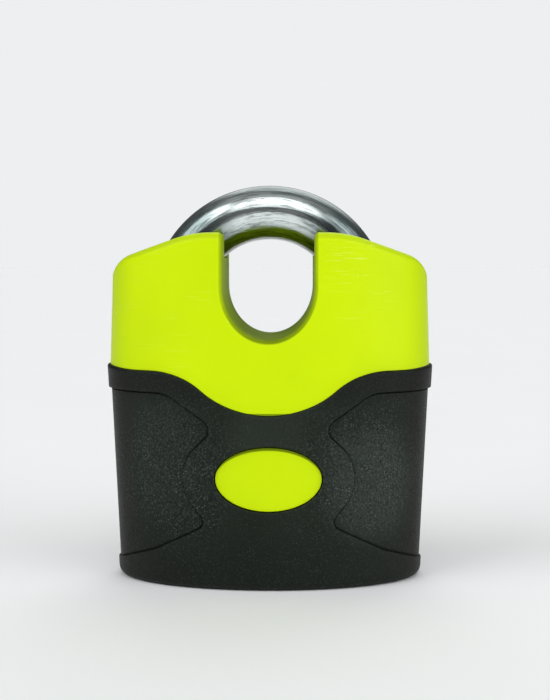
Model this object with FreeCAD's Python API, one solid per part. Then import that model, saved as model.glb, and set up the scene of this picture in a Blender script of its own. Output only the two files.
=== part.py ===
import FreeCAD, Part
import math
import os

# Closed-shoulder padlock: painted steel body with a U-notch in its crown, a removable round-rod
# shackle locked on both legs by steel balls, a disc cylinder in the underside and a moulded
# plastic jacket round the lower half.
# Millimetres. Z is up, the front of the padlock faces -Y, and the jacket stands on Z = 0.

V = FreeCAD.Vector
X_AXIS, Y_AXIS, Z_AXIS = V(1, 0, 0), V(0, 1, 0), V(0, 0, 1)
FAR = 120.0                  # longer than the padlock in every direction
OVERLAP = 1.0                # how far a cutting solid runs past the face it opens
TOUCH = 0.01                 # how near an edge lies to a surface to count as on it

# Fits
RUN = 0.08                   # radial clearance of a turning or sliding fit
SEAT = 0.04                  # clearance between pieces fixed to each other

# Lock body: (half width, half depth, z) of the oval sections it tapers between
CROWN_LOW = (42.5, 21.3, 44.0)
CROWN_HIGH = (40.95, 20.3, 90.0)
CORE_LOW = (38.1, 19.7, 2.05)
CORE_HIGH = (40.1, 19.9, 56.0)
CORE_RELIEF = 0.55           # the core stops this far under the scooped edge
CROWN_TOP = 89.95
CROWN_FLAT = 14.5            # half width of the level part beside the notch
CROWN_BEND = 30.0
CROWN_SLOPE = math.radians(18.5)
CROWN_CORNER_X = 35.6        # where the slope turns down into the side
CROWN_CORNER = 9.0
CROWN_CORNER_LEAN = math.radians(85)
CROWN_FILLET = 2.2
CROWN_RIM_Z = 75.0           # every rim to be rounded lies above this

# U-notch between the shoulders
NOTCH_HALF = 11.6
NOTCH_FLOOR = 63.0
NOTCH_ROUND = 13.4
NOTCH_FILLET = 1.0
NOTCH_FACE_Y = 3.0           # the notch's two rims are further from the middle than this

# Jacket: raised frame and recessed side panels
FRAME_LOW = (40.0, 22.0, 0.0)
FRAME_HIGH = (42.9, 22.0, 56.0)
PANEL_LOW = (39.5, 21.2, 0.0)
PANEL_HIGH = (42.1, 21.2, 56.0)
SKIN_MARGIN = 5.0
JACKET_FLOOR = 2.0
JACKET_FOOT_FILLET = 2.3
COLLAR_TOP = 55.0
COLLAR_EAR_X = 34.0          # from here outwards the collar's top edge curves up a little
COLLAR_EAR_RADIUS = 40.0
COLLAR_EAR_SWEEP = math.radians(30)
SCOOP_RADIUS = 27.5
SCOOP_BOTTOM = 44.2
SCOOP_BLEND = 20.0
STEP_GAP = 0.15
WINDOW_HALF = (13.65, 8.3)
WINDOW_Z = 28.25
BOSS_GAP = 0.3               # between the window's edge and the painted oval that fills it
BOSS_RECESS = 0.9            # how far that oval lies below the jacket's surface
KEY_OPENING = 11.5

# Side panel outline, right-hand side, from the collar down to the foot band
PANEL_TOP = (60.0, 49.5)
PANEL_TOP_CORNER = (25.9, 49.5)
PANEL_UPPER_CORNER = (13.4, 40.8)
PANEL_WAIST = ((19.2, 35.1), (21.5, 28.2), (18.9, 21.0))
PANEL_LOWER_CORNER = (15.2, 16.6)
PANEL_FOOT = ((29.0, 9.4), (37.0, 6.3), (39.5, 4.9), (60.0, 4.9))
PANEL_FILLETS = {PANEL_TOP_CORNER: 9.0, PANEL_UPPER_CORNER: 2.8, PANEL_LOWER_CORNER: 2.2}

# Shackle
ROD = 7.0
LEG_X = 24.5
BOW_Z = 71.0
LEG_END = 37.5
LEG_CHAMFER = 1.4
LEG_BORE_FLOOR = 36.0
SLOT_CLEARANCE = 0.3

# Ball lock
BALL = 6.0
BALL_Z = 48.0
BALL_OPEN_X = 11.2
BALL_STROKE = 4.0
BALL_NOTCH = BALL + 0.4
CAM_GAP = 0.2
CAM_TURN = math.pi / 2
CAM_STEPS = 24

# Cylinder bore and what stands in it
BORE = 9.55
BORE_TOP = 55.0
PIVOT = 3.0
PIVOT_TOP = 57.4
PIVOT_HEADROOM = 0.4
CAM_FLANGE_Z = 39.9
CAM_LOBE_Z = BALL_Z - BALL - 0.3
CAM_LOBE_TOP = 54.6
PLATE_Z = 2.05
PLATE_THICK = 1.5
PLATE_HOLE = 5.1
HOUSING_Z = 3.65
HOUSING_TOP = 30.2
ROTOR = 7.8
ROTOR_Z = 3.75
ROTOR_TOP = 32.0
ROTOR_BORE = 6.7
ROTOR_BORE_TOP = 29.2
CLIP_Z = 30.4
CLIP_THICK = 0.8
CLIP_OUTER = 8.8
CLIP_GROOVE = 6.9
CLIP_MOUTH = 6.0
CLIP_LIP = 7.8               # the clip's two arms are full width out to this radius

# Disc pack
DISC = ROTOR_BORE - RUN
DISC_COUNT = 8
DISC_Z = 5.95
DISC_PITCH = 2.9
DISC_THICK = 2.35
SPACER_THICK = 0.48
SPACER_HOLE = 3.9
KEY_HOLE = 3.4
KEY_FLAT = 1.5
ENTRY_KEY_HOLE = 3.2
GATE_WIDTH = 1.75
GATE_DEPTH = 1.2
FALSE_GATE_DEPTH = 0.5
FALSE_GATE_STEP = 38.0
ENTRY_Z = 2.35
ENTRY_STEP = 3.85
ENTRY_TOP = 5.85
ENTRY_BOSS = 5.0

# Sidebar
BAR_WIDTH = 1.6
BAR_OUTER = 7.7
BAR_INNER = 5.6
BAR_Z = 6.7
BAR_TOP = 28.3
BAR_END_GAP = 0.4
BAR_GROOVE = 8.6             # radius of the housing groove that the bar stands out into

# Tailpiece
TAIL_BASE = 4.2
TAIL_BASE_TOP = 33.4
TAIL_BLADE = (6.0, 2.5)
TAIL_TOP = 44.6

# Cross pin, channel plug and jacket screws
PIN = 1.5
PIN_Z = 18.0
PIN_INNER = 8.4
PIN_OUTER = 19.3
PLUG_INNER = 31.9
SCREW_X = 29.0
SCREW_HEAD = 3.0
SCREW_SHANK = 1.5
SCREW_FACE = 0.3
SCREW_NECK = 1.8
SCREW_END = 12.0
SCREW_SOCKET = 1.1
SCREW_SOCKET_DEPTH = 1.1
HEXAGON = 6


# ---------------------------------------------------------------- helpers

def cylinder_z(radius, low, high, x=0.0, y=0.0):
    return Part.makeCylinder(radius, high - low, V(x, y, low), Z_AXIS)


def box(low, high):
    size = [b - a for a, b in zip(low, high)]
    return Part.makeBox(size[0], size[1], size[2], V(*low))


def grow(section, by):
    """The same oval section, larger all round."""
    return (section[0] + by, section[1] + by, section[2])


def tapered_oval(low, high):
    """Solid between two (half width, half depth, z) ovals."""
    wires = []
    for half_width, half_depth, z in (low, high):
        wires.append(Part.Wire(Part.Ellipse(V(0, 0, z), half_width, half_depth).toShape()))
    return Part.makeLoft(wires, True, True)


def prism_y(edges, front=-FAR, back=FAR):
    """Solid with the given outline in the XZ plane, running from front to back."""
    face = Part.Face(Part.Wire(Part.__sortEdges__(edges)))
    face.translate(V(0, front, 0))
    return face.extrude(V(0, back - front, 0))


def line(a, b):
    return Part.makeLine(V(a[0], 0, a[1]), V(b[0], 0, b[1]))


def arc(a, middle, b):
    points = [V(p[0], 0, p[1]) for p in (a, middle, b)]
    return Part.Arc(*points).toShape()


def mirrored_x(shape):
    return shape.mirror(V(0, 0, 0), X_AXIS)


def both_sides(shape):
    return shape.fuse(mirrored_x(shape))


# ---------------------------------------------------------------- scooped edge of the jacket

def above_scoop(offset=0.0):
    """Everything above the scooped line where the jacket ends and the paint begins."""
    top = COLLAR_TOP + offset
    radius = SCOOP_RADIUS - offset
    centre = SCOOP_BOTTOM + SCOOP_RADIUS
    blend = SCOOP_BLEND + offset
    blend_z = top - blend
    reach = radius + blend
    blend_x = math.sqrt(reach ** 2 - (centre - blend_z) ** 2)
    share = radius / reach
    meet = (blend_x * share, centre - (centre - blend_z) * share)
    halfway = (math.pi / 2 + math.atan2(centre - blend_z, -blend_x)) / 2
    mid = (blend_x + blend * math.cos(halfway), blend_z + blend * math.sin(halfway))
    ear_radius = COLLAR_EAR_RADIUS - offset
    ear = [(COLLAR_EAR_X + ear_radius * math.sin(lean), top + ear_radius * (1 - math.cos(lean)))
           for lean in (0, COLLAR_EAR_SWEEP / 2, COLLAR_EAR_SWEEP)]
    far_x, far_z = ear[-1]
    edges = [arc((-meet[0], meet[1]), (0, centre - radius), meet)]
    for side in (-1, 1):
        edges.append(arc((side * meet[0], meet[1]), (side * mid[0], mid[1]), (side * blend_x, top)))
        edges.append(line((side * blend_x, top), (side * COLLAR_EAR_X, top)))
        edges.append(arc(*[(side * x, z) for x, z in ear]))
        edges.append(line((side * far_x, far_z), (side * far_x, FAR)))
    edges.append(line((-far_x, FAR), (far_x, FAR)))
    return prism_y(edges)


# ---------------------------------------------------------------- lock body

def notch():
    round_z = NOTCH_FLOOR + NOTCH_ROUND
    ellipse = Part.Ellipse(V(0, 0, round_z), NOTCH_ROUND, NOTCH_HALF)
    ellipse.Axis = Y_AXIS
    ellipse.XAxis = V(0, 0, -1)
    bowl = Part.Face(Part.Wire(ellipse.toShape())).extrude(V(0, 2 * FAR, 0))
    bowl.translate(V(0, -FAR, 0))
    return bowl.fuse(box((-NOTCH_HALF, -FAR, round_z), (NOTCH_HALF, FAR, FAR))).removeSplitter()


def touches(edge, test):
    return all(test(edge.valueAt(t)) for t in (
        edge.FirstParameter,
        (edge.FirstParameter + edge.LastParameter) / 2,
        edge.LastParameter))


def turn(start, lean, radius, end_lean):
    """Arc that bends down from one slope to a steeper one; gives the arc and its end."""
    centre = (start[0] - radius * math.sin(lean), start[1] - radius * math.cos(lean))
    at = [(centre[0] + radius * math.sin(t), centre[1] + radius * math.cos(t))
          for t in (lean, (lean + end_lean) / 2, end_lean)]
    return arc(*at), at[-1]


def crown_profile():
    """Level beside the notch, then sloping down to a rounded corner at each side."""
    flat_end = (CROWN_FLAT, CROWN_TOP)
    bend, slope_start = turn(flat_end, 0.0, CROWN_BEND, CROWN_SLOPE)
    slope_end = (CROWN_CORNER_X,
                 slope_start[1] - (CROWN_CORNER_X - slope_start[0]) * math.tan(CROWN_SLOPE))
    corner, corner_end = turn(slope_end, CROWN_SLOPE, CROWN_CORNER, CROWN_CORNER_LEAN)
    far_side = (FAR, corner_end[1] - FAR)
    half = [
        line((0, CROWN_TOP), flat_end), bend, line(slope_start, slope_end), corner,
        line(corner_end, far_side), line(far_side, (FAR, -FAR)),
        line((FAR, -FAR), (0, -FAR)), line((0, -FAR), (0, CROWN_TOP)),
    ]
    return both_sides(prism_y(half)).removeSplitter()


def crown():
    """The painted upper half: arched top, notch, rounded edges."""
    blank = tapered_oval(CROWN_LOW, CROWN_HIGH).common(crown_profile())
    blank = blank.cut(notch())
    rims = [e for e in blank.Edges
            if touches(e, lambda p: abs(p.x) > NOTCH_HALF - TOUCH and p.z > CROWN_RIM_Z)
            and not touches(e, lambda p: abs(abs(p.x) - NOTCH_HALF) < TOUCH)]
    blank = blank.makeFillet(CROWN_FILLET, rims)
    sides = [e for e in blank.Edges
             if touches(e, lambda p: abs(p.x) < NOTCH_HALF + TOUCH and abs(p.y) > NOTCH_FACE_Y
                        and p.z > NOTCH_FLOOR - TOUCH)
             and e.BoundBox.ZLength > NOTCH_FILLET]
    return blank.makeFillet(NOTCH_FILLET, sides).cut(below_scoop())


def below_scoop():
    return box((-FAR, -FAR, -FAR), (FAR, FAR, FAR)).cut(above_scoop(STEP_GAP))


def leg_pocket():
    """Leg bore and the slot the bow drops through, right-hand shoulder."""
    bore = cylinder_z(ROD + RUN, LEG_BORE_FLOOR, BOW_Z, LEG_X)
    half = ROD + SLOT_CLEARANCE
    slot = cylinder_z(half, BOW_Z, FAR, LEG_X)
    inner = Part.makeCylinder(LEG_X - half, 2 * half, V(0, -half, BOW_Z), Y_AXIS)
    slot = slot.fuse(box((0, -half, BOW_Z), (LEG_X, half, FAR)).cut(inner))
    return bore.fuse(slot)


def lock_body():
    body = tapered_oval(CORE_LOW, CORE_HIGH).cut(above_scoop(CORE_RELIEF))
    body = body.fuse([crown(), window_boss()]).removeSplitter()
    cuts = [
        both_sides(leg_pocket()),
        cylinder_z(BORE, 0, BORE_TOP),
        cylinder_z(PIVOT + RUN, BORE_TOP - OVERLAP, PIVOT_TOP + PIVOT_HEADROOM),
        ball_channel(),
        cross_pin(PIN + SEAT, PIN_INNER - OVERLAP, FAR),
    ]
    for x in (-SCREW_X, SCREW_X):
        cuts.append(cylinder_z(SCREW_SHANK + SEAT, 0, SCREW_END + OVERLAP, x))
    return body.cut(cuts)


def window_boss():
    """The painted oval that fills the jacket's window and stands nearly level with it."""
    skin = tapered_oval(grow(FRAME_LOW, -BOSS_RECESS), grow(FRAME_HIGH, -BOSS_RECESS))
    return window(-BOSS_GAP).common(skin)


def ball_channel():
    """Cross drilling from the right-hand side through to the left leg bore."""
    return Part.makeCylinder(BALL + RUN, LEG_X + FAR, V(-LEG_X, 0, BALL_Z), X_AXIS)


# ---------------------------------------------------------------- jacket

def path(points):
    return [line(a, b) for a, b in zip(points, points[1:])]


def panel_prism():
    """Outline of one recessed side panel, right-hand side, run right through."""
    edges = path([PANEL_TOP, PANEL_TOP_CORNER, PANEL_UPPER_CORNER, PANEL_WAIST[0]])
    edges.append(arc(*PANEL_WAIST))
    edges += path([PANEL_WAIST[-1], PANEL_LOWER_CORNER, *PANEL_FOOT, PANEL_TOP])
    prism = prism_y(edges)
    for corner, fillet in PANEL_FILLETS.items():
        prism = prism.makeFillet(fillet, [e for e in prism.Edges if runs_through(e, corner)])
    return prism


def runs_through(edge, corner):
    """Whether an edge runs along Y through a corner of the panel's outline."""
    at = (edge.BoundBox.XMin, edge.BoundBox.ZMin)
    return edge.BoundBox.YLength > FAR and math.dist(at, corner) < TOUCH


def panel_recess():
    frame_skin = tapered_oval(grow(FRAME_LOW, SKIN_MARGIN), grow(FRAME_HIGH, SKIN_MARGIN))
    return panel_prism().common(frame_skin).cut(tapered_oval(PANEL_LOW, PANEL_HIGH))


def window(grown=0.0):
    half_x, half_z = WINDOW_HALF
    ellipse = Part.Ellipse(V(0, 0, WINDOW_Z), half_x + grown, half_z + grown)
    ellipse.Axis = Y_AXIS
    return Part.Face(Part.Wire(ellipse.toShape())).extrude(V(0, -FAR, 0))


def jacket():
    shell = tapered_oval(FRAME_LOW, FRAME_HIGH)
    foot = [e for e in shell.Edges if e.BoundBox.ZMax < TOUCH]
    shell = shell.makeFillet(JACKET_FOOT_FILLET, foot)
    hollow = tapered_oval(grow(CORE_LOW, SEAT), grow(CORE_HIGH, SEAT))
    shell = shell.cut([hollow, above_scoop(), panel_recess(), mirrored_x(panel_recess()), window()])
    shell = shell.cut(cylinder_z(KEY_OPENING, -OVERLAP, JACKET_FLOOR + OVERLAP))
    for x in (-SCREW_X, SCREW_X):
        shell = shell.cut(screw_blank(x, SEAT, -OVERLAP))
    return shell


def screw_blank(x, clearance, low):
    head = Part.makeCone(SCREW_HEAD + clearance, SCREW_SHANK + clearance,
                         SCREW_NECK - SCREW_FACE, V(x, 0, SCREW_FACE), Z_AXIS)
    shank = cylinder_z(SCREW_SHANK + clearance, SCREW_NECK, SCREW_END, x)
    blank = head.fuse(shank)
    if low < SCREW_FACE:
        blank = blank.fuse(cylinder_z(SCREW_HEAD + clearance, low, SCREW_FACE, x))
    return blank


def jacket_screws():
    screws = []
    for x in (-SCREW_X, SCREW_X):
        corners = [V(x + SCREW_SOCKET * math.cos(2 * math.pi * k / HEXAGON),
                     SCREW_SOCKET * math.sin(2 * math.pi * k / HEXAGON), SCREW_FACE)
                   for k in range(HEXAGON + 1)]
        socket = Part.Face(Part.makePolygon(corners)).extrude(V(0, 0, SCREW_SOCKET_DEPTH))
        screws.append(screw_blank(x, 0, SCREW_FACE).cut(socket))
    return Part.makeCompound(screws)


# ---------------------------------------------------------------- shackle

def shackle():
    section = Part.Face(Part.Wire(Part.makeCircle(ROD, V(LEG_X, 0, BOW_Z), Z_AXIS)))
    bow = section.revolve(V(0, 0, BOW_Z), V(0, -1, 0), 180)
    parts = [bow]
    for x in (-LEG_X, LEG_X):
        leg = cylinder_z(ROD, LEG_END, BOW_Z, x)
        tip = [e for e in leg.Edges if e.BoundBox.ZMax < LEG_END + TOUCH]
        parts.append(leg.makeChamfer(LEG_CHAMFER, tip))
    rod = parts[0].fuse(parts[1:]).removeSplitter()
    for side in (-1, 1):
        rod = rod.cut(Part.makeCylinder(BALL_NOTCH, 2 * FAR,
                                        V(side * (BALL_OPEN_X + BALL_STROKE), -FAR, BALL_Z), Y_AXIS))
    return rod


# ---------------------------------------------------------------- ball lock

def cam_radius(angle):
    """Largest cam radius at this angle that keeps clear of the ball through the whole turn."""
    clear = BALL + CAM_GAP
    folded = abs(math.atan2(math.sin(angle), abs(math.cos(angle))))
    reach = FAR
    for step in range(4 * CAM_STEPS + 1):
        share = step / (4 * CAM_STEPS)
        away = BALL_OPEN_X + BALL_STROKE * share
        for sign in (-1, 1):
            off = folded - sign * CAM_TURN * share
            aside = away * math.sin(off)
            if abs(aside) < clear and math.cos(off) > 0:
                reach = min(reach, away * math.cos(off) - math.sqrt(clear ** 2 - aside ** 2))
    return reach


def ball_cam():
    points = []
    for step in range(4 * CAM_STEPS):
        angle = step * CAM_TURN / CAM_STEPS
        radius = cam_radius(angle)
        points.append(V(radius * math.cos(angle), radius * math.sin(angle), CAM_LOBE_Z))
    curve = Part.BSplineCurve()
    curve.interpolate(points, True)
    lobe = Part.Face(Part.Wire(curve.toShape())).extrude(V(0, 0, CAM_LOBE_TOP - CAM_LOBE_Z))
    cam = lobe.fuse([cylinder_z(BORE - RUN, CAM_FLANGE_Z, CAM_LOBE_Z),
                     cylinder_z(PIVOT, CAM_LOBE_TOP, PIVOT_TOP)])
    return cam.cut(tail_blade(CAM_FLANGE_Z - OVERLAP, SEAT))


def locking_ball(side):
    return Part.makeSphere(BALL, V(side * BALL_OPEN_X, 0, BALL_Z))


# ---------------------------------------------------------------- cylinder

def tail_blade(low, clearance=0.0):
    half_x = TAIL_BLADE[0] / 2 + clearance
    half_y = TAIL_BLADE[1] / 2 + clearance
    return box((-half_x, -half_y, low), (half_x, half_y, TAIL_TOP + 2 * clearance))


def tailpiece():
    return cylinder_z(TAIL_BASE, ROTOR_TOP, TAIL_BASE_TOP).fuse(tail_blade(TAIL_BASE_TOP))


def anti_drill_plate():
    plate = cylinder_z(BORE - SEAT, PLATE_Z, PLATE_Z + PLATE_THICK)
    return plate.cut(cylinder_z(PLATE_HOLE, 0, BORE))


def cross_pin(radius, inner, outer):
    return Part.makeCylinder(radius, outer - inner, V(0, inner, PIN_Z), Y_AXIS)


def cylinder_housing():
    tube = cylinder_z(BORE - SEAT, HOUSING_Z, HOUSING_TOP).cut(cylinder_z(ROTOR + RUN, 0, FAR))
    half = BAR_WIDTH / 2 + SEAT
    groove = box((0, -half, BAR_Z - BAR_END_GAP), (BAR_GROOVE, half, BAR_TOP + BAR_END_GAP))
    return tube.cut([groove, cross_pin(PIN + SEAT, PIN_INNER - SEAT, FAR)])


def sidebar_box(clearance):
    half = BAR_WIDTH / 2 + clearance
    return box((-half, -BAR_OUTER - clearance, BAR_Z - clearance),
               (half, -BAR_INNER + clearance, BAR_TOP + clearance))


def rotor():
    body = cylinder_z(ROTOR, ROTOR_Z, ROTOR_TOP)
    body = body.cut(cylinder_z(ROTOR_BORE, 0, ROTOR_BORE_TOP))
    groove = cylinder_z(FAR, CLIP_Z - SEAT, CLIP_Z + CLIP_THICK + SEAT)
    groove = groove.cut(cylinder_z(CLIP_GROOVE, 0, FAR))
    slot = sidebar_box(SEAT).fuse(sidebar_box(SEAT).translated(V(0, -OVERLAP, 0)))
    return body.cut([groove, slot])


def rotor_clip():
    ring = cylinder_z(CLIP_OUTER, CLIP_Z, CLIP_Z + CLIP_THICK)
    mouth = box((-CLIP_MOUTH, 0, 0), (CLIP_MOUTH, FAR, FAR)).cut(cylinder_z(CLIP_LIP, 0, FAR))
    return ring.cut([cylinder_z(CLIP_GROOVE + SEAT, 0, FAR), mouth,
                     box((-CLIP_MOUTH / 2, 0, 0), (CLIP_MOUTH / 2, FAR, FAR))])


def key_slot(radius):
    """Round key hole with one side cut flat, running the length of the disc pack."""
    return cylinder_z(radius, 0, FAR).cut(box((-FAR, KEY_FLAT, -OVERLAP), (FAR, FAR, FAR + OVERLAP)))


def sidebar_gate(depth):
    half = GATE_WIDTH / 2
    return box((-half, -DISC - OVERLAP, 0), (half, -DISC + depth, FAR))


def code_disc(index):
    low = DISC_Z + index * DISC_PITCH
    disc = cylinder_z(DISC, low, low + DISC_THICK)
    false_gate = sidebar_gate(FALSE_GATE_DEPTH)
    false_gate.rotate(V(0, 0, 0), Z_AXIS, FALSE_GATE_STEP * (index + 1))
    return disc.cut([key_slot(KEY_HOLE), sidebar_gate(GATE_DEPTH), false_gate])


def disc_spacer(index):
    low = DISC_Z + index * DISC_PITCH + DISC_THICK + (DISC_PITCH - DISC_THICK - SPACER_THICK) / 2
    washer = cylinder_z(DISC, low, low + SPACER_THICK)
    return washer.cut([cylinder_z(SPACER_HOLE, 0, FAR), sidebar_gate(GATE_DEPTH)])


def entry_disc():
    disc = cylinder_z(ENTRY_BOSS, ENTRY_Z, ENTRY_STEP).fuse(cylinder_z(DISC, ENTRY_STEP, ENTRY_TOP))
    return disc.cut(key_slot(ENTRY_KEY_HOLE))


def channel_plug():
    """Closes the outer end of the ball channel, flush with the body."""
    plug = Part.makeCylinder(BALL + RUN - SEAT, FAR, V(PLUG_INNER, 0, BALL_Z), X_AXIS)
    return plug.common(tapered_oval(CORE_LOW, CORE_HIGH))


# ---------------------------------------------------------------- output

def build():
    nodes = {
        "lock_body": lock_body(),
        "shackle": shackle(),
        "jacket": jacket(),
        "jacket_screws": jacket_screws(),
        "cylinder_housing": cylinder_housing(),
        "cylinder_pin": cross_pin(PIN, PIN_INNER, PIN_OUTER),
        "anti_drill_plate": anti_drill_plate(),
        "channel_plug": channel_plug(),
        "rotor": rotor(),
        "rotor_clip": rotor_clip(),
        "entry_disc": entry_disc(),
        "sidebar": sidebar_box(0),
        "tailpiece": tailpiece(),
        "ball_cam": ball_cam(),
        "locking_ball_left": locking_ball(-1),
        "locking_ball_right": locking_ball(1),
    }
    for index in range(DISC_COUNT):
        nodes["code_disc_%02d" % (index + 1)] = code_disc(index)
    for index in range(DISC_COUNT - 1):
        nodes["disc_spacer_%02d" % (index + 1)] = disc_spacer(index)
    return nodes


os.makedirs("parts", exist_ok=True)
for name, shape in build().items():
    shape.exportStep("parts/%s.step" % name)
    print(name, shape.isValid(), len(shape.Solids), round(shape.Volume, 1))
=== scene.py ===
import math

import bmesh
import bpy
import numpy as np
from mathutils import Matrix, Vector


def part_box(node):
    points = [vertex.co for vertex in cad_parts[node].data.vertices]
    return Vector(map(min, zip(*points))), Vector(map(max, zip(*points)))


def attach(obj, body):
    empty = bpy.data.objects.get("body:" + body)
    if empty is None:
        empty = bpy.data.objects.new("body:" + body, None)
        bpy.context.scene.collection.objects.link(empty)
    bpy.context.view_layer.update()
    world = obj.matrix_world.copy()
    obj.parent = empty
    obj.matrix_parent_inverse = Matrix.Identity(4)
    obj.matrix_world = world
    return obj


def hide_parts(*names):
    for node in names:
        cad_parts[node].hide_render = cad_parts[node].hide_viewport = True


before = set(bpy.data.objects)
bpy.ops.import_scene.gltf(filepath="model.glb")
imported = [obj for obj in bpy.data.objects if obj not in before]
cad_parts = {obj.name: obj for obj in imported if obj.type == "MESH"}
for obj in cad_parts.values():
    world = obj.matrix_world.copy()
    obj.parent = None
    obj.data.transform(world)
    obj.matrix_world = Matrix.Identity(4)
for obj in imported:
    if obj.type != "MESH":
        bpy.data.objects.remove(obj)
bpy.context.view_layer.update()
MM = 0.001

# ---------------------------------------------------------------- jacket sizes, in millimetres

# Each skin is an oval that grows upwards: (half width, half depth) at SKIN_LOW and at SKIN_HIGH
SKIN_LOW, SKIN_HIGH = 0.0, 56.0
FRAME_SKIN = ((40.0, 22.0), (42.9, 22.0))
PANEL_SKIN = ((39.5, 21.2), (42.1, 21.2))
CORE_SKIN = ((38.07, 19.74), (40.14, 19.94))
FLOOR = 2.0
FOOT_ROUND = 2.3

# The top edge: a scoop in the middle, blended into the collar, which rises a little past EAR_X
LIP_ROUND = 0.7
COLLAR_TOP = 55.0
EAR_X, EAR_RADIUS = 34.0, 40.0
SCOOP_BOTTOM = 44.2
SCOOP_RADIUS = 27.5
SCOOP_BLEND = 20.0

# The oval window as (half width, half height), and the round holes of the floor
WINDOW = (13.65, 8.3)
WINDOW_Z = 28.25
WINDOW_ROUND = 0.5
KEY_OPENING = 11.5
KEY_ROUND = 0.6
SCREW_X = 29.0
SCREW_SEAT, SCREW_SEAT_ROUND = 3.05, 0.3
SCREW_SHANK = 1.56
SCREW_FACE, SCREW_NECK = 0.3, 1.8    # heights of the seat's edge and of the cone's narrow end

# Corners of a side panel's edge as (half width, height, radius): from the side, in under the
# collar, down round the waist, and back out above the foot band
PAST_SIDE = 60.0
PANEL_EDGE = [(PAST_SIDE, 49.5, 0.0), (25.9, 49.5, 9.0), (13.4, 40.8, 2.8), (25.5, 28.9, 11.0),
              (15.2, 16.6, 2.2), (29.0, 9.4, 12.0), (37.0, 6.3, 8.0), (39.5, 4.9, 3.0),
              (PAST_SIDE, 4.9, 0.0)]
UPPER_CORNER, LOWER_CORNER = 2, 4    # the two that point to the middle
ARC_STEPS = 24

# The crease that runs along it: (distance into the panel, share of the step up to the frame)
CREASE = [(-0.62, 1.0), (-0.3, 0.9), (0.0, -0.35), (0.24, 0.0)]
CREASE_FLOOR = 2             # which of these is its lowest line

# Quarter of the wall as a grid: columns from the middle of the front to the side, rows from the
# foot to the rim. A panel takes the columns past PANEL_COLUMN from LOW_ROW to HIGH_ROW.
QUARTER = 100
PANEL_COLUMN = 29
LOW_ROW, HIGH_ROW, TOP_ROW = 13, 71, 85
FIT_PASSES = 4               # rounds of fitting heights and places to each other
SETTLE_PASSES = 60           # rounds of smoothing the grid between its fixed lines

COLUMNS = 4 * QUARTER
FLOOR_ROWS = 12              # from the key opening out to the foot or the wall
FOOT_ROWS = 7
ROUND_STEPS = 5              # rows of a rounded edge
HOLE_STEPS = 6               # rows from a block's rim to the window
MOUTH_SHARES = (0.0, 0.3)    # how far the key opening has widened, row by row
SHARP_ANGLE = 44             # degrees

# Blocks of faces left out for the holes: rows of the floor and half depth for a screw, half width
# and half height for the window
SCREW_BLOCK_ROWS = (6, 10)
SCREW_BLOCK_HALF = 4.2
WINDOW_BLOCK = (10.6, 9.8)


# ---------------------------------------------------------------- jacket surfaces

def skin(section, z):
    """Half width and half depth of an oval skin at height z."""
    share = (np.asarray(z, float) - SKIN_LOW) / (SKIN_HIGH - SKIN_LOW)
    low, high = section
    return low[0] + (high[0] - low[0]) * share, low[1] + (high[1] - low[1]) * share


# A place round the wall is its lean, an angle from the middle of the front to the side, or its
# reach, the distance round the oval that goes with it.
LEAN = np.linspace(0, math.pi / 2, 8 * QUARTER + 1)
REACH = np.concatenate([[0], np.cumsum(np.hypot(FRAME_SKIN[0][0] * np.diff(np.sin(LEAN)),
                                                FRAME_SKIN[0][1] * np.diff(np.cos(LEAN))))])


def lean_of(reach):
    return np.interp(reach, REACH, LEAN)


def reach_of(x, z):
    """Reach of a point of the panel skin from its half width and height."""
    return np.interp(np.arcsin(np.clip(x / skin(PANEL_SKIN, z)[0], 0, 1)), LEAN, REACH)


def unit(v):
    return v / np.hypot(*v)


def quarter_turn(steps):
    """Angles that end at a right angle, without the start."""
    return [math.pi / 2 * k / steps for k in range(1, steps + 1)]


def rounded(corners):
    """A line through corners of (reach, height, radius), each turned into an arc."""
    points = [corners[0][:2]]
    for before, corner, after in zip(corners, corners[1:], corners[2:]):
        back, ahead = unit(before[:2] - corner[:2]), unit(after[:2] - corner[:2])
        half = math.acos(back @ ahead) / 2
        centre = corner[:2] + unit(back + ahead) * corner[2] / math.sin(half)
        first, last = (corner[:2] + way * corner[2] / math.tan(half) - centre for way in (back, ahead))
        start = math.atan2(first[1], first[0])
        turn = math.atan2(first[0] * last[1] - first[1] * last[0], first @ last)
        points += [centre + corner[2] * np.array([math.cos(t), math.sin(t)])
                   for t in start + np.linspace(0, turn, ARC_STEPS)]
    return np.array(points + [corners[-1][:2]])


CORNERS = np.array([(reach_of(x, z), z, radius) for x, z, radius in PANEL_EDGE])
EDGE = rounded(CORNERS)


def nearest_on_edge(points):
    """For each (reach, height): the closest point of the edge, and the way from it into the panel."""
    start, step = EDGE[:-1], np.diff(EDGE, axis=0)
    share = np.clip(((points[:, None] - start) * step).sum(2) / (step ** 2).sum(1), 0, 1)
    foot = start + share[..., None] * step
    best = ((points[:, None] - foot) ** 2).sum(2).argmin(1)
    inward = np.stack([-step[:, 1], step[:, 0]], axis=1) / np.hypot(*step.T)[:, None]
    return foot[np.arange(len(points)), best], inward[best]


def scoop(x):
    """Height of the jacket's top edge."""
    x = np.abs(x)
    centre = SCOOP_BOTTOM + SCOOP_RADIUS
    blend_z = COLLAR_TOP - SCOOP_BLEND
    reach = SCOOP_RADIUS + SCOOP_BLEND
    blend_x = math.sqrt(reach ** 2 - (centre - blend_z) ** 2)
    meet = blend_x * SCOOP_RADIUS / reach
    low = centre - np.sqrt(np.clip(SCOOP_RADIUS ** 2 - x ** 2, 0, None))
    high = blend_z + np.sqrt(np.clip(SCOOP_BLEND ** 2 - (x - blend_x) ** 2, 0, None))
    ear = COLLAR_TOP + EAR_RADIUS - np.sqrt(EAR_RADIUS ** 2 - np.clip(x - EAR_X, 0, None) ** 2)
    return np.where(x < meet, low, np.where(x < blend_x, high, ear))


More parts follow.
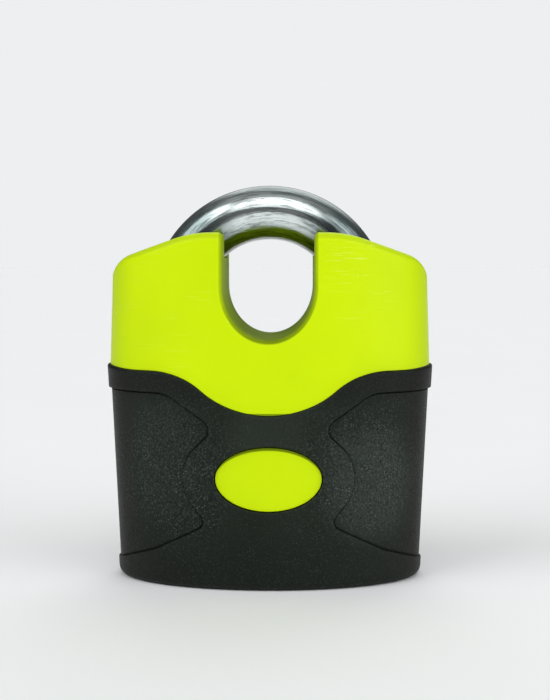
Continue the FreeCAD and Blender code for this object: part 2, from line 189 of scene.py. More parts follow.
def rim_height(lean):
    """Height of the top edge, from the lean alone."""
    z = COLLAR_TOP
    for _ in range(FIT_PASSES):
        z = scoop(skin(FRAME_SKIN, z)[0] * np.sin(lean))
    return z


EVEN_REACH = np.linspace(0, REACH[-1], QUARTER + 1)


def first_guess():
    """The quarter grid as (reach, height), with its key rows and column near the panel's edge."""
    row = np.arange(TOP_ROW + 1)[:, None]
    column = np.arange(QUARTER + 1)[None, :]
    key_rows = [0, LOW_ROW, HIGH_ROW, TOP_ROW]
    upper, lower = CORNERS[UPPER_CORNER::-1], CORNERS[LOWER_CORNER:]
    top = rim_height(lean_of(EVEN_REACH)) - LIP_ROUND
    sway = np.interp(column, [0, PANEL_COLUMN, QUARTER], [0, 1, 0])
    sway = sway * np.interp(row, key_rows, [0, 1, 1, 0])
    reach = np.broadcast_to(EVEN_REACH, (TOP_ROW + 1, QUARTER + 1))
    for _ in range(FIT_PASSES):
        low, high = (np.interp(reach, *side[:, :2].T) for side in (lower, upper))
        below = FOOT_ROUND + (low - FOOT_ROUND) * row / LOW_ROW
        middle = low + (high - low) * (row - LOW_ROW) / (HIGH_ROW - LOW_ROW)
        above = high + (top - high) * (row - HIGH_ROW) / (TOP_ROW - HIGH_ROW)
        z = np.where(row < LOW_ROW, below, np.where(row < HIGH_ROW, middle, above))
        side = np.interp(np.clip(z, lower[0, 1], upper[0, 1]), *EDGE[::-1].T[::-1])
        reach = EVEN_REACH + (side - EVEN_REACH[PANEL_COLUMN]) * sway
    return np.stack([reach, z], axis=2)


def quarter_grid():
    """The quarter grid with the crease's lines on it, and each point's share of the step."""
    grid = first_guess()
    fixed = np.zeros(grid.shape[:2], bool)
    fixed[[0, -1]] = True
    last = len(CREASE) - CREASE_FLOOR
    share = np.ones(grid.shape[:2])
    share[LOW_ROW + last:HIGH_ROW - last + 1, PANEL_COLUMN + last:] = 0
    for k, (inset, height) in enumerate(CREASE):
        step = k - CREASE_FLOOR
        low, high, column = LOW_ROW + step, HIGH_ROW - step, PANEL_COLUMN + step
        line = np.zeros(grid.shape[:2], bool)
        line[[low, high], column:] = True
        line[low:high + 1, column] = True
        foot, inward = nearest_on_edge(grid[line])
        grid[line] = foot + inward * inset
        share[line] = height
        fixed |= line
    for _ in range(SETTLE_PASSES):
        wide = np.pad(grid, ((1, 1), (1, 1), (0, 0)), mode="reflect")
        mean = (wide[2:, 1:-1] + wide[:-2, 1:-1] + wide[1:-1, 2:] + wide[1:-1, :-2]) / 4
        mean[:, [0, -1], 0] = 0, REACH[-1]
        grid = np.where(fixed[..., None], grid, mean)
    return grid, share


# Which of the quarter's columns comes where round the whole wall, starting at the middle of the
# front, its signs of x and y there, and its place on a circle of radius 1
AROUND = np.arange(COLUMNS)
MIRRORED = np.minimum(AROUND % (2 * QUARTER), 2 * QUARTER - AROUND % (2 * QUARTER))
SIDE_X = np.where(AROUND < 2 * QUARTER, 1, -1)
SIDE_Y = np.where((AROUND > QUARTER) & (AROUND < 3 * QUARTER), 1, -1)
UNIT_X = SIDE_X * np.sin(lean_of(EVEN_REACH[MIRRORED]))
UNIT_Y = SIDE_Y * np.cos(lean_of(EVEN_REACH[MIRRORED]))


def oval_row(half_width, half_depth, z):
    """One row round the whole wall."""
    return np.stack([half_width * UNIT_X, half_depth * UNIT_Y, np.broadcast_to(z, UNIT_X.shape)], axis=1)


def flat_rows(z, hole, outer, shares):
    """Rows of a flat ring, at shares of the way from a round hole out to an oval."""
    return [oval_row(hole + (outer[0] - hole) * t, hole + (outer[1] - hole) * t, z) for t in shares]


def foot_rows():
    """The rounded foot, between the underside and the outside's first row."""
    rows = []
    for angle in quarter_turn(FOOT_ROWS + 1)[:-1]:
        z = FOOT_ROUND * (1 - math.cos(angle))
        a, b = skin(FRAME_SKIN, z)
        inset = FOOT_ROUND * (1 - math.sin(angle))
        rows.append(oval_row(a - inset, b - inset, z))
    return rows


def wall_points():
    """The outside, from the foot's rounding up to the lip's, as an array of rows."""
    grid, share = (quarter[:, MIRRORED] for quarter in quarter_grid())
    lean, z = lean_of(grid[..., 0]), grid[..., 1]
    (panel_a, panel_b), (frame_a, frame_b) = skin(PANEL_SKIN, z), skin(FRAME_SKIN, z)
    a, b = panel_a + (frame_a - panel_a) * share, panel_b + (frame_b - panel_b) * share
    return np.stack([SIDE_X * a * np.sin(lean), SIDE_Y * b * np.cos(lean), z], axis=2)


def lip_rows(rim, top_z):
    """The rounded top edge, from the outside's last row inwards."""
    core_a, core_b = skin(CORE_SKIN, top_z)
    inward = np.stack([core_a * UNIT_X - rim[:, 0], core_b * UNIT_Y - rim[:, 1]], axis=1)
    inward /= np.hypot(*inward.T)[:, None]
    rows = []
    for angle in quarter_turn(ROUND_STEPS):
        at = rim[:, :2] + inward * LIP_ROUND * (1 - math.cos(angle))
        rows.append(np.column_stack([at, top_z - LIP_ROUND * (1 - math.sin(angle))]))
    return rows


# ---------------------------------------------------------------- jacket mesh

class Sheet:
    """A mesh made of rows that close on themselves, with round holes let into them."""

    def __init__(self):
        self.points, self.faces = [], []

    def row(self, points):
        start = len(self.points)
        self.points.extend(tuple(float(c) for c in p) for p in points)
        return list(range(start, start + len(points)))

    def rows(self, arrays):
        return [self.row(points) for points in arrays]

    def join(self, rows, holes=()):
        """Quads between rows, but none in the holes (first row, last row, first and last column)."""
        count = len(rows[0])
        for i in range(len(rows) - 1):
            for j in range(count):
                if any(r0 <= i < r1 and (j - c0) % count < c1 - c0 for r0, r1, c0, c1 in holes):
                    continue
                k = (j + 1) % count
                self.faces.append((rows[i][j], rows[i][k], rows[i + 1][k], rows[i + 1][j]))

    def rim(self, rows, first, last, c0, c1):
        """Points round a block, starting along its first row, which may be the higher one."""
        count = len(rows[0])
        way = 1 if last > first else -1
        loop = [rows[first][j % count] for j in range(c0, c1)]
        loop += [rows[i][c1 % count] for i in range(first, last, way)]
        loop += [rows[last][j % count] for j in range(c1, c0, -1)]
        return loop + [rows[i][c0 % count] for i in range(last, first, -way)]

    def grow(self, loop, points):
        """A new ring of points, joined to the loop before it."""
        new = self.row(points)
        self.join([loop, new])
        return new

    def at(self, loop):
        return np.array([self.points[k] for k in loop])

    def finish(self, name):
        data = bpy.data.meshes.new(name)
        data.from_pydata([[c * MM for c in p] for p in self.points], [], self.faces)
        clean = bmesh.new()
        clean.from_mesh(data)
        bmesh.ops.delete(clean, geom=[v for v in clean.verts if not v.link_faces], context="VERTS")
        bmesh.ops.recalc_face_normals(clean, faces=clean.faces)
        clean.to_mesh(data)
        clean.free()
        data.shade_smooth()
        data.set_sharp_from_angle(angle=math.radians(SHARP_ANGLE))
        obj = bpy.data.objects.new(name, data)
        bpy.context.scene.collection.objects.link(obj)
        return obj


def columns_where(inside):
    """The columns on both sides of the run that passes the test."""
    first = next(j for j in range(COLUMNS) if inside[j] and not inside[j - 1])
    last = first
    while inside[(last + 1) % COLUMNS]:
        last += 1
    return first - 1, last + 1


def toward(start, target, share):
    return start + (target - start) * share


def window_xz(start, wider):
    """Where a block's rim points land on the window's oval."""
    half_width, half_height = WINDOW
    t = np.arctan2((start[:, 2] - WINDOW_Z) / half_height, start[:, 0] / half_width)
    return np.column_stack([(half_width + wider) * np.cos(t),
                            WINDOW_Z + (half_height + wider) * np.sin(t)])


def on_front(section, xz, sink=0.0):
    """Lays (x, z) points on the front of a skin."""
    a, b = skin(section, xz[:, 1])
    return np.column_stack([xz[:, 0], sink - b * np.sqrt(1 - (xz[:, 0] / a) ** 2), xz[:, 1]])


def cut_window(sheet, outer_rim, inner_rim):
    """The window, with a rounded lip, from the wall's outside to its inside."""
    start = sheet.at(outer_rim)
    flat = start[:, [0, 2]]
    loop = outer_rim
    for k in range(1, HOLE_STEPS + 1):
        xz = toward(flat, window_xz(start, WINDOW_ROUND), k / HOLE_STEPS)
        loop = sheet.grow(loop, on_front(FRAME_SKIN, xz))
    for angle in quarter_turn(ROUND_STEPS):
        xz = window_xz(start, WINDOW_ROUND * (1 - math.sin(angle)))
        loop = sheet.grow(loop, on_front(FRAME_SKIN, xz, WINDOW_ROUND * (1 - math.cos(angle))))
    edge = window_xz(start, 0.0)
    start = sheet.at(inner_rim)[:, [0, 2]]
    inner = inner_rim
    for k in range(1, ROUND_STEPS + 1):
        inner = sheet.grow(inner, on_front(CORE_SKIN, toward(start, edge, k / ROUND_STEPS)))
    sheet.join([loop, inner])


def screw_ring(start, x, radius, z, share=1.0):
    """A ring at the screw at x, or only a share of the way to it from a block's rim points."""
    t = np.arctan2(start[:, 1], start[:, 0] - x)
    target = np.column_stack([x + radius * np.cos(t), radius * np.sin(t)])
    return np.column_stack([toward(start[:, :2], target, share), np.full(len(start), z)])


def cut_screw_hole(sheet, x, under_rim, floor_rim):
    """A countersunk hole through the jacket's floor."""
    start = sheet.at(under_rim)
    loop = under_rim
    for k in range(1, ROUND_STEPS + 1):
        ring = screw_ring(start, x, SCREW_SEAT + SCREW_SEAT_ROUND, 0.0, k / ROUND_STEPS)
        loop = sheet.grow(loop, ring)
    loop = sheet.grow(loop, screw_ring(start, x, SCREW_SEAT, SCREW_FACE))
    loop = sheet.grow(loop, screw_ring(start, x, SCREW_SHANK, SCREW_NECK))
    start = sheet.at(floor_rim)
    inner = floor_rim
    for k in range(1, ROUND_STEPS + 1):
        inner = sheet.grow(inner, screw_ring(start, x, SCREW_SHANK, FLOOR, k / ROUND_STEPS))
    sheet.join([loop, inner])


def build_jacket():
    """The jacket as one closed mesh: underside, foot, wall, lip, inside and floor."""
    sheet = Sheet()
    shares = np.linspace(0, 1, FLOOR_ROWS + 1)
    foot_a, foot_b = skin(FRAME_SKIN, 0.0)
    under_edge = (foot_a - FOOT_ROUND, foot_b - FOOT_ROUND)
    under = sheet.rows(flat_rows(0.0, KEY_OPENING + KEY_ROUND, under_edge, shares))
    foot = sheet.rows(foot_rows())
    top_z = rim_height(lean_of(EVEN_REACH[MIRRORED]))
    wall_grid = wall_points()
    wall = sheet.rows(wall_grid)
    lip = sheet.rows(lip_rows(wall_grid[-1], top_z))

    front = wall_grid[:, 0, 2]
    low_row, high_row = (int(np.argmin(np.abs(front - WINDOW_Z - side * WINDOW_BLOCK[1])))
                         for side in (-1, 1))
    inside = (front - FLOOR) / (top_z[0] - FLOOR)
    inner_shares = np.concatenate([np.linspace(1, inside[high_row], ROUND_STEPS, endpoint=False),
                                   inside[high_row:low_row:-1],
                                   np.linspace(inside[low_row], 0, ROUND_STEPS + 1)])
    inner_z = [FLOOR + share * (top_z - FLOOR) for share in inner_shares]
    inner = sheet.rows([oval_row(*skin(CORE_SKIN, z), z) for z in inner_z])
    floor_edge = skin(CORE_SKIN, FLOOR)
    floor = sheet.rows(flat_rows(FLOOR, KEY_OPENING, floor_edge, shares[-2::-1]))
    mouth = sheet.rows([oval_row(KEY_OPENING + KEY_ROUND * out, KEY_OPENING + KEY_ROUND * out,
                                 KEY_ROUND * (1 - out)) for out in MOUTH_SHARES])

    window_cols = columns_where((np.abs(UNIT_X * FRAME_SKIN[0][0]) < WINDOW_BLOCK[0]) & (UNIT_Y < 0))
    window_hole = (low_row, high_row, *window_cols)
    inner_hole = (ROUND_STEPS, ROUND_STEPS + high_row - low_row, *window_cols)
    middle_share = np.mean(SCREW_BLOCK_ROWS) / FLOOR_ROWS
    middle_depth = KEY_OPENING + (under_edge[1] - KEY_OPENING) * middle_share
    screw_cols = [columns_where((np.abs(UNIT_Y) * middle_depth < SCREW_BLOCK_HALF) & (UNIT_X * side > 0))
                  for side in (-1, 1)]
    first, last = SCREW_BLOCK_ROWS
    floor_first, floor_last = FLOOR_ROWS - 1 - last, FLOOR_ROWS - 1 - first

    sheet.join(under, [(first, last, *cols) for cols in screw_cols])
    sheet.join([under[-1]] + foot + [wall[0]])
    sheet.join(wall, [window_hole])
    sheet.join([wall[-1]] + lip + [inner[0]])
    sheet.join(inner, [inner_hole])
    sheet.join([inner[-1], floor[0]])
    sheet.join(floor, [(floor_first, floor_last, *cols) for cols in screw_cols])
    sheet.join([floor[-1]] + mouth + [under[0]])
    cut_window(sheet, sheet.rim(wall, low_row, high_row, *window_cols),
               sheet.rim(inner, inner_hole[1], inner_hole[0], *window_cols))
    for side, cols in zip((-1, 1), screw_cols):
        cut_screw_hole(sheet, side * SCREW_X, sheet.rim(under, first, last, *cols),
                       sheet.rim(floor, floor_last, floor_first, *cols))
    return sheet.finish("jacket_shell")


jacket = build_jacket()
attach(jacket, "lock")
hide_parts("jacket")


# ---------------------------------------------------------------- material nodes

class Nodes:
    """Short ways to add nodes to a tree. A value is a number, a tuple or another node's output."""

    def __init__(self, tree):
        self.tree = tree

    def node(self, kind, **settings):
        made = self.tree.nodes.new(kind)
        for key, value in settings.items():
            setattr(made, key, value)
        return made

    def put(self, socket, value):
        if isinstance(value, bpy.types.NodeSocket):
            self.tree.links.new(value, socket)
        elif isinstance(value, tuple) and len(value) != len(socket.default_value):
            socket.default_value = (*value, 1)
        else:
            socket.default_value = value

    def vector(self, operation, a, b):
        made = self.node("ShaderNodeVectorMath", operation=operation)
        self.put(made.inputs[0], a)
        self.put(made.inputs[1], b)
        return made.outputs["Value" if operation in ("DISTANCE", "DOT_PRODUCT") else "Vector"]

    def math(self, operation, a, b=0.0):
        made = self.node("ShaderNodeMath", operation=operation)
        self.put(made.inputs[0], a)
        self.put(made.inputs[1], b)
        return made.outputs[0]

    def all_of(self, operation, values):
        total = values[0]
        for value in values[1:]:
            total = self.math(operation, total, value)
        return total

    def plus(self, *values):
        return self.all_of("ADD", values)

    def times(self, *values):
        return self.all_of("MULTIPLY", values)

    def most(self, *values):
        return self.all_of("MAXIMUM", values)

    def minus(self, a, b):
        return self.math("SUBTRACT", a, b)

    def size(self, value):
        return self.math("ABSOLUTE", value)

    def length(self, a, b):
        return self.math("SQRT", self.plus(self.times(a, a), self.times(b, b)))

    def join(self, x, y, z):
        made = self.node("ShaderNodeCombineXYZ")
        for socket, value in zip(made.inputs, (x, y, z)):
            self.put(socket, value)
        return made.outputs[0]

    def split(self, vector):
        made = self.node("ShaderNodeSeparateXYZ")
        self.put(made.inputs[0], vector)
        return made.outputs

    def span(self, value, low, high, out_low=0.0, out_high=1.0):
        """Maps low..high smoothly onto out_low..out_high."""
        made = self.node("ShaderNodeMapRange", interpolation_type="SMOOTHSTEP")
        for socket, number in zip(made.inputs, (value, low, high, out_low, out_high)):
            self.put(socket, number)
        return made.outputs[0]


class Look(Nodes):
    """A node material whose textures are laid out in millimetres of the part's own frame."""

    def __init__(self, name):
        self.mat = bpy.data.materials.new(name)
        self.mat.use_nodes = True
        super().__init__(self.mat.node_tree)
        self.shader = self.tree.nodes["Principled BSDF"]
        coords = self.node("ShaderNodeTexCoord")
        self.place = self.vector("MULTIPLY", coords.outputs["Object"], (1 / MM, 1 / MM, 1 / MM))
        self.facing = coords.outputs["Normal"]

    def noise(self, per_mm, detail=2.0, rough=0.5, stretch=(1, 1, 1), shift=(0, 0, 0), source=None):
        """Noise with so many features to the millimetre."""
        where = self.vector("MULTIPLY", source or self.place, stretch)
        where = self.vector("ADD", where, shift)
        made = self.node("ShaderNodeTexNoise")
        settings = {"Vector": where, "Scale": per_mm, "Detail": detail, "Roughness": rough}
        for key, value in settings.items():
            self.put(made.inputs[key], value)
        return made.outputs[0]

    def dots(self, per_mm, radius_mm, rarity):
        """Small round dots, one to a cell, in the share of cells that rarity leaves."""
        made = self.node("ShaderNodeTexVoronoi")
        self.put(made.inputs["Vector"], self.place)
        self.put(made.inputs["Scale"], per_mm)
        radius = radius_mm * per_mm
        dot = self.span(made.outputs["Distance"], radius * 0.5, radius, 1.0, 0.0)
        pick = self.node("ShaderNodeSeparateColor")
        self.put(pick.inputs[0], made.outputs["Color"])
        return self.times(dot, self.math("GREATER_THAN", pick.outputs[0], rarity))

    def near(self, places):
        """Full strength at each (centre, radius, strength), fading to 0 at its radius."""
        return self.most(*(self.times(self.span(self.vector("DISTANCE", self.place, centre),
                                                radius * 0.4, radius, 1.0, 0.0), strength)
                           for centre, radius, strength in places))

    def mix(self, share, a, b):
        made = self.node("ShaderNodeMix", data_type="RGBA")
        for index, value in ((0, share), (6, a), (7, b)):
            self.put(made.inputs[index], value)
        return made.outputs[2]

    def bump(self, height, depth_mm, under=None):
        made = self.node("ShaderNodeBump")
        self.put(made.inputs["Height"], height)
        self.put(made.inputs["Distance"], depth_mm * MM)
        if under is not None:
            self.put(made.inputs["Normal"], under)
        return made.outputs[0]

    def set(self, **values):
        for key, value in values.items():
            self.put(self.shader.inputs[key.replace("_", " ").title().replace("Ior", "IOR")], value)
        return self.mat


# ---------------------------------------------------------------- painted steel
# Places are in millimetres and colours in linear light, here and in the other materials.

LEG_X, LEG_BORE = 24.5, 7.15
CYLINDER_BORE, CYLINDER_TOP = 9.65, 57.9
NOTCH_HALF, NOTCH_DEPTH, NOTCH_CENTRE_Z = 11.6, 13.4, 76.4
NOTCH_EDGE = 0.086           # width of the rounding along its edge, as a share of its half width
NOTCH_SHADE_Z = (63.0, 76.0)       # heights between which the notch's painted shade gets lighter
NOTCH_SHADE_TOP = 0.55             # how much of it is left at the upper one
LIP_SHADOW = 1.1             # depth of the painted shadow band under the window's upper lip
LIP_BLUR = 0.03              # softness of its edge, as a share of the window

PAINT = ((0.635, 0.855, 0.0008), (0.68, 0.90, 0.0008))
PAINT_TURNED_SHADE = (0.46, 0.62, 0.0008)
PAINT_WORN = (0.76, 0.95, 0.09)
PAINT_SHADE = (0.10, 0.155, 0.001)
BORE_STEEL = ((0.46, 0.45, 0.43), (0.30, 0.30, 0.29))
RUBBED_PLACES = [((24, -20, 79), 15, 1.0), ((-17, -20, 74), 5, 0.6)]


def bare_bores(look):
    """1 inside the body's machined bores, 0 elsewhere."""
    x, y, z = look.split(look.place)
    leg = look.length(look.minus(look.size(x), LEG_X), y)
    leg = look.math("LESS_THAN", leg, LEG_BORE)
    middle = look.math("LESS_THAN", look.length(x, y), CYLINDER_BORE)
    low = look.math("LESS_THAN", z, CYLINDER_TOP)
    return look.most(leg, look.times(middle, low))


def notch_shade(look):
    """Painted shade on the walls of the U-notch, darkest at its floor and fading over its rounded edge.
    """
    x, _, z = look.split(look.place)
    drop = look.most(look.minus(NOTCH_CENTRE_Z, z), 0.0)
    out = look.length(look.math("DIVIDE", x, NOTCH_HALF), look.math("DIVIDE", drop, NOTCH_DEPTH))
    wall = look.span(out, 1 + NOTCH_EDGE * 0.55, 1 + NOTCH_EDGE, 1.0, 0.0)
    return look.times(wall, look.span(z, *NOTCH_SHADE_Z, 1.0, NOTCH_SHADE_TOP))


def window_lip_shadow(look):
    """1 in the narrow band of the painted oval that lies under the upper lip of the jacket's window,
    where a shadow of the lip is painted.
    """
    x, _, z = look.split(look.place)
    half_width, half_height = WINDOW
    rise = look.plus(look.minus(z, WINDOW_Z), LIP_SHADOW)
    out = look.length(look.math("DIVIDE", x, half_width), look.math("DIVIDE", rise, half_height))
    above = look.math("GREATER_THAN", z, WINDOW_Z)
    below_crown = look.math("LESS_THAN", z, WINDOW_Z + 2 * half_height)
    return look.times(look.span(out, 1.0, 1 + LIP_BLUR), above, below_crown)


def painted_steel():
    """Yellow-green paint over a steel body whose bores are bare, with painted shade on its rims, flanks
    and notch and under the window's lip.
    """
    look = Look("hi_vis_paint")
    cloud = look.noise(0.035, 3)
    colour = look.mix(look.span(cloud, 0.3, 0.7), *PAINT)

    # Painted shade: rims and flanks, which turn away from the front, are painted a little darker
    sideways, _, upward = look.split(look.facing)
    turned_shade = look.most(look.span(upward, 0.10, 0.50), look.span(look.size(sideways), 0.55, 0.95))
    colour = look.mix(look.times(turned_shade, 0.6), colour, PAINT_TURNED_SHADE)

    # Level scratches: plain in the rubbed places, faint in a few others, and small chips anywhere
    streak = look.noise(1.0, 3, 0.6, stretch=(0.10, 0.10, 2.4))
    lines = look.span(streak, 0.55, 0.68)
    patchy = look.span(look.noise(0.14, 2, 0.5, shift=(31, 7, 12)), 0.40, 0.58)
    scuff = look.times(lines, look.near(RUBBED_PLACES), patchy)
    faint = look.times(lines, look.span(look.noise(0.05, 2, shift=(3, 9, 1)), 0.55, 0.68))
    chips = look.dots(0.22, 0.35, 0.72)
    worn = look.most(scuff, look.times(faint, 0.25), look.times(chips, 0.45))
    colour = look.mix(worn, colour, PAINT_WORN)

    # Painted shade, with slightly rougher paint there: on the walls and floor of the U-notch and as a
    # shadow band under the window's upper lip
    shade_patches = look.span(look.noise(0.12, 3, 0.5), 0.25, 0.75, 0.85, 1.0)
    painted_shade = look.times(look.most(notch_shade(look), window_lip_shadow(look)), shade_patches)
    colour = look.mix(look.times(painted_shade, 0.85), colour, PAINT_SHADE)

    bare = bare_bores(look)
    colour = look.mix(bare, colour, look.mix(look.noise(0.6, 3), *BORE_STEEL))

    peel = look.noise(0.9, 2, 0.5)
    fine = look.noise(6.0, 2, 0.6)
    dulled = look.plus(look.times(worn, 0.18), look.times(painted_shade, 0.4))
    rough = look.plus(look.span(fine, 0.3, 0.7, 0.30, 0.40), dulled)
    normal = look.bump(peel, 0.012)
    normal = look.bump(streak, 0.004, normal)
    return look.set(base_color=colour, metallic=bare, roughness=rough, normal=normal,
                    specular_ior_level=0.1)


# ---------------------------------------------------------------- moulded plastic

FOOT_SHADE_Z = (6.0, 26.0)
COLLAR_SHADE_Z = (45.0, 52.0)
FLANK_X = (32.0, 39.0)
PANEL_CENTRE = (24.0, 30.0)           # how far out and how high the middle of a side panel is
PANEL_FADE = (10.0, 21.0)             # distances from it between which the grain's painted shade and glints get weaker

PLASTIC = ((0.0095, 0.0138, 0.0090), (0.0130, 0.0182, 0.0128))
PLASTIC_SHADE = (0.0045, 0.0056, 0.0040)
PLASTIC_SHEEN = (0.045, 0.060, 0.042)
PLASTIC_PANEL_HIGHLIGHT = (0.045, 0.056, 0.050)
PLASTIC_PIT_SHADE = (0.0030, 0.0042, 0.0030)
PLASTIC_PEAK_GLINT = (0.070, 0.088, 0.078)
PLASTIC_FLECK_GLINT = (0.22, 0.26, 0.24)
PLASTIC_FLANK_REFLECTION = (0.0065, 0.0055, 0.0035)
SHEEN_PLACES = [((0, -22, 40), 13, 1.0)]
PANEL_HIGHLIGHT_PLACES = [((27, -17, 27), 19, 1.0), ((-27, -17, 32), 17, 0.3)]


def moulded_plastic():
    """Black plastic with spark-eroded grain, whose painted shade and glints make it look coarser on the
    side panels.
    """
    look = Look("eroded_plastic")
    x, _, z = look.split(look.place)
    side = look.size(x)
    grain = look.noise(2.0, 4, 0.7)
    cloud = look.noise(0.06, 3)
    colour = look.mix(look.span(cloud, 0.3, 0.7), *PLASTIC)

    # Broad tones: painted shade on the foot and collar, a dull painted sheen under the scoop, and a
    # painted highlight on the side panels, strongest on the right
    shaded = look.most(look.span(z, *FOOT_SHADE_Z, 0.45, 0.0), look.span(z, *COLLAR_SHADE_Z, 0.0, 0.6))
    colour = look.mix(shaded, colour, PLASTIC_SHADE)
    colour = look.mix(look.times(look.near(SHEEN_PLACES), 0.2), colour, PLASTIC_SHEEN)
    colour = look.mix(look.times(look.near(PANEL_HIGHLIGHT_PLACES), 0.5), colour, PLASTIC_PANEL_HIGHLIGHT)

    # Grain: painted shade in its pits, painted glints on its peaks and as sparse light flecks
    centre_x, centre_z = PANEL_CENTRE
    panel = look.length(look.minus(side, centre_x), look.minus(z, centre_z))
    panel = look.span(panel, *PANEL_FADE, 1.0, 0.25)
    pit_shade = look.times(look.span(grain, 0.50, 0.36), panel)
    colour = look.mix(look.times(pit_shade, 0.75), colour, PLASTIC_PIT_SHADE)
    peak_glints = look.times(look.span(grain, 0.52, 0.68), panel)
    colour = look.mix(look.times(peak_glints, 0.6), colour, PLASTIC_PEAK_GLINT)
    patchy = look.span(look.noise(0.10, 2, shift=(5, 2, 8)), 0.38, 0.62, 0.2, 1.0)
    fleck_glints = look.times(look.dots(2.2, 0.13, 0.62), patchy, panel)
    colour = look.mix(look.times(fleck_glints, 0.7), colour, PLASTIC_FLECK_GLINT)

    # Painted reflection: the flanks are painted a warmer, darker tone
    colour = look.mix(look.span(side, *FLANK_X, 0.0, 0.6), colour, PLASTIC_FLANK_REFLECTION)
    rough = look.span(grain, 0.3, 0.7, 0.56, 0.38)
    return look.set(base_color=colour, roughness=rough, normal=look.bump(grain, 0.07),
                    specular_ior_level=0.14)


# ---------------------------------------------------------------- bright and turned metals

CHROME = ((0.92, 0.98, 0.96), (0.58, 0.66, 0.65))
CHROME_HAZE = (0.50, 0.48, 0.44)
CHROME_STREAK = (0.20, 0.24, 0.24)
CHROME_END_REFLECTION = ((0.16, 0.21, 0.205), (0.075, 0.10, 0.10))
CHROME_INSIDE_REFLECTION = ((0.30, 0.31, 0.27), (0.12, 0.12, 0.10))
CHROME_TOP_REFLECTION = ((0.17, 0.19, 0.19), (0.10, 0.12, 0.12))
END_LEAN = (0.26, 0.70)               # angles from the bow's top between which its ends begin
INSIDE_RADIUS = (18.0, 22.5)
TOP_FACING = (0.55, 0.85)             # how far up the surface looks where the bow's top begins


def bright_chrome():
    """Drawn chrome whose streaks run along the rod, over the bow and down its legs, with darker
    reflections painted on its ends, inside and top.
    """
    look = Look("rod_chrome")
    low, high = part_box("shackle")
    bow_z = (high.z - (high.x - low.x) / 2) / MM
    x, y, z = look.split(look.place)
    up = look.most(look.minus(z, bow_z), 0.0)
    radius = look.length(x, up)
    lean = look.math("ARCTAN2", x, look.plus(up, 0.001))
    along = look.plus(look.times(lean, 3.0), look.times(z, 0.03))
    drawn = look.noise(1.5, 4, 0.7, source=look.join(radius, y, along))
    bands = look.noise(0.55, 3, 0.65, source=look.join(radius, y, look.times(lean, 0.8)))
    haze = look.noise(0.25, 3, 0.6)

    colour = look.mix(look.span(bands, 0.38, 0.62), *CHROME)
    colour = look.mix(look.times(look.span(haze, 0.45, 0.75), 0.4), colour, CHROME_HAZE)
    colour = look.mix(look.span(drawn, 0.50, 0.62, 0.0, 0.7), colour, CHROME_STREAK)

    # Painted darker reflections where the rod nears the body, inside the bow and along its top
    end_reflection = look.span(look.size(lean), *END_LEAN, 0.0, 0.92)
    inside = look.times(look.span(radius, *INSIDE_RADIUS, 0.8, 0.0), look.span(up, 0.0, 4.0))
    top = look.span(look.split(look.facing)[2], *TOP_FACING, 0.0, 0.88)
    for share, tones in ((end_reflection, CHROME_END_REFLECTION), (inside, CHROME_INSIDE_REFLECTION), (top, CHROME_TOP_REFLECTION)):
        colour = look.mix(share, colour, look.mix(look.span(drawn, 0.42, 0.60), *tones))

    rough = look.plus(look.span(haze, 0.35, 0.7, 0.05, 0.14), look.times(drawn, 0.12))
    normal = look.bump(bands, 0.09)
    normal = look.bump(drawn, 0.035, normal)
    return look.set(base_color=colour, metallic=1.0, roughness=rough, normal=normal)


def turned_metal(name, light, dark, rough, rings_per_mm):
    """Lathe-turned metal: fine rings about the vertical axis, a little staining."""
    look = Look(name)
    x, y, z = look.split(look.place)
    groove = look.noise(rings_per_mm, 3, 0.6, source=look.join(look.length(x, y), 0.0, z))
    stain = look.noise(0.3, 4, 0.6)
    colour = look.mix(look.span(stain, 0.3, 0.75), light, dark)
    gloss = look.plus(look.span(stain, 0.3, 0.7, rough, rough + 0.14), look.times(groove, 0.08))
    return look.set(base_color=colour, metallic=1.0, roughness=gloss, normal=look.bump(groove, 0.012))


def starting(prefix):
    return [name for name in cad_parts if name.startswith(prefix)]


def dress(nodes, mat):
    for node in nodes:
        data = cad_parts[node].data
        data.materials.clear()
        data.materials.append(mat)


# The inner pieces: nodes, material name, light tone, dark tone, roughness, rings to the millimetre
TURNED = [
    (["cylinder_housing", "rotor"], "turned_brass", (0.72, 0.53, 0.24), (0.45, 0.31, 0.13), 0.24, 2.0),
    (starting("code_disc"), "disc_brass", (0.76, 0.60, 0.33), (0.52, 0.39, 0.20), 0.30, 4.0),
    (starting("disc_spacer"), "spacer_steel", (0.58, 0.57, 0.55), (0.42, 0.41, 0.40), 0.30, 4.0),
    (["entry_disc"], "entry_nickel", (0.62, 0.60, 0.56), (0.46, 0.44, 0.41), 0.22, 3.0),
    (["anti_drill_plate"], "plate_steel", (0.55, 0.55, 0.55), (0.38, 0.38, 0.39), 0.28, 2.5),
    (["ball_cam", "tailpiece", "channel_plug", "cylinder_pin", "sidebar"],
     "hard_steel", (0.50, 0.50, 0.51), (0.33, 0.33, 0.34), 0.30, 2.0),
    (starting("locking_ball"), "ball_steel", (0.72, 0.72, 0.73), (0.60, 0.60, 0.62), 0.08, 0.6),
    (["rotor_clip", "jacket_screws"],
     "black_steel", (0.10, 0.10, 0.11), (0.05, 0.05, 0.055), 0.35, 2.0),
]

plastic = moulded_plastic()
jacket.data.materials.append(plastic)
dress(["jacket"], plastic)
dress(["lock_body"], painted_steel())
dress(["shackle"], bright_chrome())
for nodes, name, light, dark, rough, rings in TURNED:
    dress(nodes, turned_metal(name, light, dark, rough, rings))


# ---------------------------------------------------------------- studio

FLOOR_SIZE = 40                       # metres
FLOOR_SHADE, FLOOR_SPREAD = 0.94, 0.01
BACKDROP = (0.848, 0.862, 0.875)      # seen past the floor, close to the tone of the lit floor
SKY_COLOUR = (0.97, 0.985, 1.0)
SKY_BASE, SKY_TOP = 0.14, 0.24
SKY_RISE = (0.2, 0.95)                # sines of the elevations between which the sky gets lighter
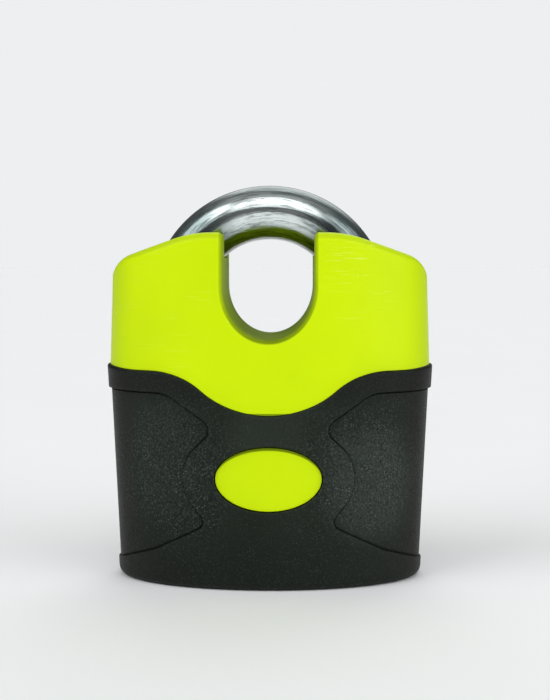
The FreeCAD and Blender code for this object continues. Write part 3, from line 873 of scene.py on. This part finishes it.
# Soft boxes in the sky: azimuth from the front and elevation, half angle, brightness
SOFT_BOXES = [(60, 22, 32, 2.0), (-56, 35, 28, 2.4), (5, 46, 24, 1.5), (172, 45, 30, 1.4)]
BOX_CORE = 0.6                        # share of its half angle in which a box is fully bright


def floor_plane():
    bpy.ops.mesh.primitive_plane_add(size=FLOOR_SIZE, location=(0, 0, 0))
    plane = bpy.context.object
    plane.name = "floor"
    look = Look("floor_pale")
    shade = look.mix(look.noise(0.01, 2), (FLOOR_SHADE - FLOOR_SPREAD,) * 3,
                     (FLOOR_SHADE + FLOOR_SPREAD,) * 3)
    plane.data.materials.append(look.set(base_color=shade, roughness=0.9, specular_ior_level=0.1))


def studio_light():
    """Light from the sky alone. The camera sees a plain backdrop in its place."""
    world = bpy.data.worlds.new("studio")
    bpy.context.scene.world = world
    world.use_nodes = True
    nodes = Nodes(world.node_tree)
    ray = nodes.node("ShaderNodeTexCoord").outputs["Generated"]
    strength = nodes.plus(nodes.span(nodes.split(ray)[2], *SKY_RISE, 0.0, SKY_TOP), SKY_BASE)
    for azimuth, elevation, half, power in SOFT_BOXES:
        turn, rise = math.radians(azimuth), math.radians(elevation)
        toward_box = (math.sin(turn) * math.cos(rise), -math.cos(turn) * math.cos(rise), math.sin(rise))
        edge, core = math.cos(math.radians(half)), math.cos(math.radians(half * BOX_CORE))
        box = nodes.span(nodes.vector("DOT_PRODUCT", ray, toward_box), edge, core, 0.0, power)
        strength = nodes.plus(box, strength)
    sky = nodes.tree.nodes["Background"]
    nodes.put(sky.inputs["Color"], SKY_COLOUR)
    nodes.put(sky.inputs["Strength"], strength)
    backdrop = nodes.node("ShaderNodeBackground")
    nodes.put(backdrop.inputs["Color"], BACKDROP)
    both = nodes.node("ShaderNodeMixShader")
    seen = nodes.node("ShaderNodeLightPath").outputs["Is Camera Ray"]
    for socket, value in zip(both.inputs, (seen, sky.outputs[0], backdrop.outputs[0])):
        nodes.put(socket, value)
    nodes.put(nodes.tree.nodes["World Output"].inputs["Surface"], both.outputs[0])


floor_plane()
studio_light()


# ---------------------------------------------------------------- camera
# It stands in front of the lock, a little right of its middle, and looks slightly down and left.

SENSOR_MM = 36
LENS_MM = 66.2914
CAMERA_PLACE = (0.0059, -0.340, 0.0823)
CAMERA_DOWN, CAMERA_LEFT = 3.86, 0.76    # degrees

lens = bpy.data.cameras.new("camera")
lens.sensor_width = SENSOR_MM
lens.lens = LENS_MM
camera = bpy.data.objects.new("camera", lens)
bpy.context.scene.collection.objects.link(camera)
camera.location = CAMERA_PLACE
camera.rotation_euler = (math.radians(90 - CAMERA_DOWN), 0, math.radians(CAMERA_LEFT))
bpy.context.scene.camera = camera
bpy.context.scene.view_settings.view_transform = "Standard"
